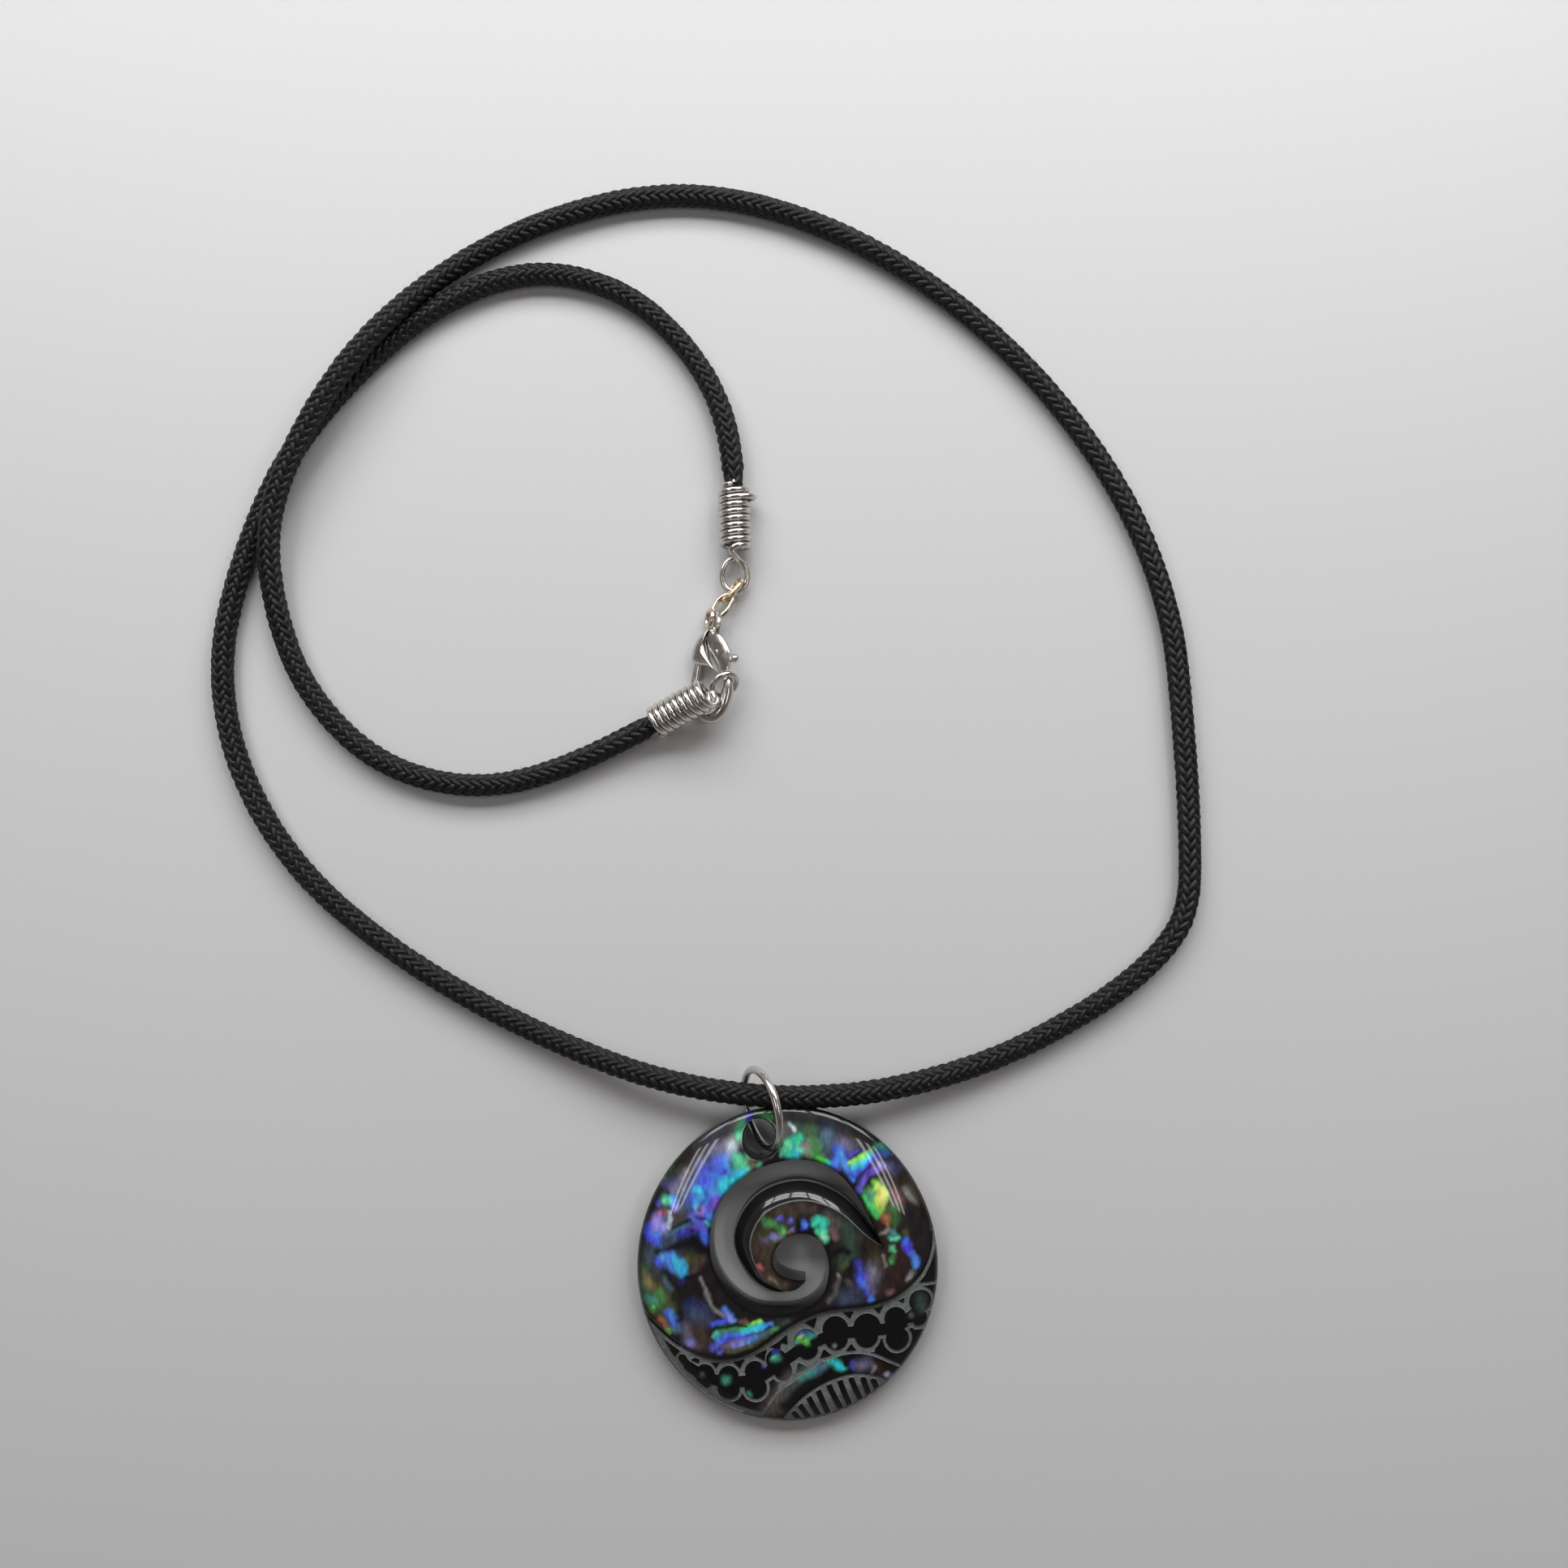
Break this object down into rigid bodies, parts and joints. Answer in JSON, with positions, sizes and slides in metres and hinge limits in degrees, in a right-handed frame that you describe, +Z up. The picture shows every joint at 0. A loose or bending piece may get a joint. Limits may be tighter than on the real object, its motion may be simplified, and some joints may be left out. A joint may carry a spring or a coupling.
{
  "type": "koru pendant necklace",
  "caption": "Round shell disc with a koru spiral opening and an engraved lower band, on a jump ring and a braided black cord with coil ends, a short chain and a lobster clasp.",
  "frame": {"origin": "on the surface that the necklace lies on, under the middle of the shell disc", "axes": "+Z up out of the disc's face, +Y from the disc towards the clasp, +X to the right of someone who looks at the disc's face"},
  "size_m": [0.1291, 0.1609, 0.0101],
  "materials": {
    "shell": "polished shell under clear resin, black at the walls and in the engraved band",
    "cord": "black waxed cotton braid",
    "metal": "polished nickel",
    "pale_gold": "polished pale gold"
  },
  "bodies": {
    "necklace": {"shell_disc": "shell", "jump_ring": "metal", "cord": "cord", "coil_end_a": "metal", "coil_end_b": "metal", "chain_link_1": "pale_gold", "chain_link_2": "metal", "clasp_body": "metal", "lever_pin": "metal"},
    "lever": {"clasp_lever": "metal"}
  },
  "joints": [
    {"name": "clasp_lever_pivot", "type": "hinge", "parent": "necklace", "child": "lever", "pos_m": [-0.00896, 0.07853, 0.0024], "axis": [0.4665, -0.0531, -0.8829], "range_deg": [0, 22], "stiffness_Nm_per_rad": 0.0005, "springref_deg": -5.73}
  ]
}
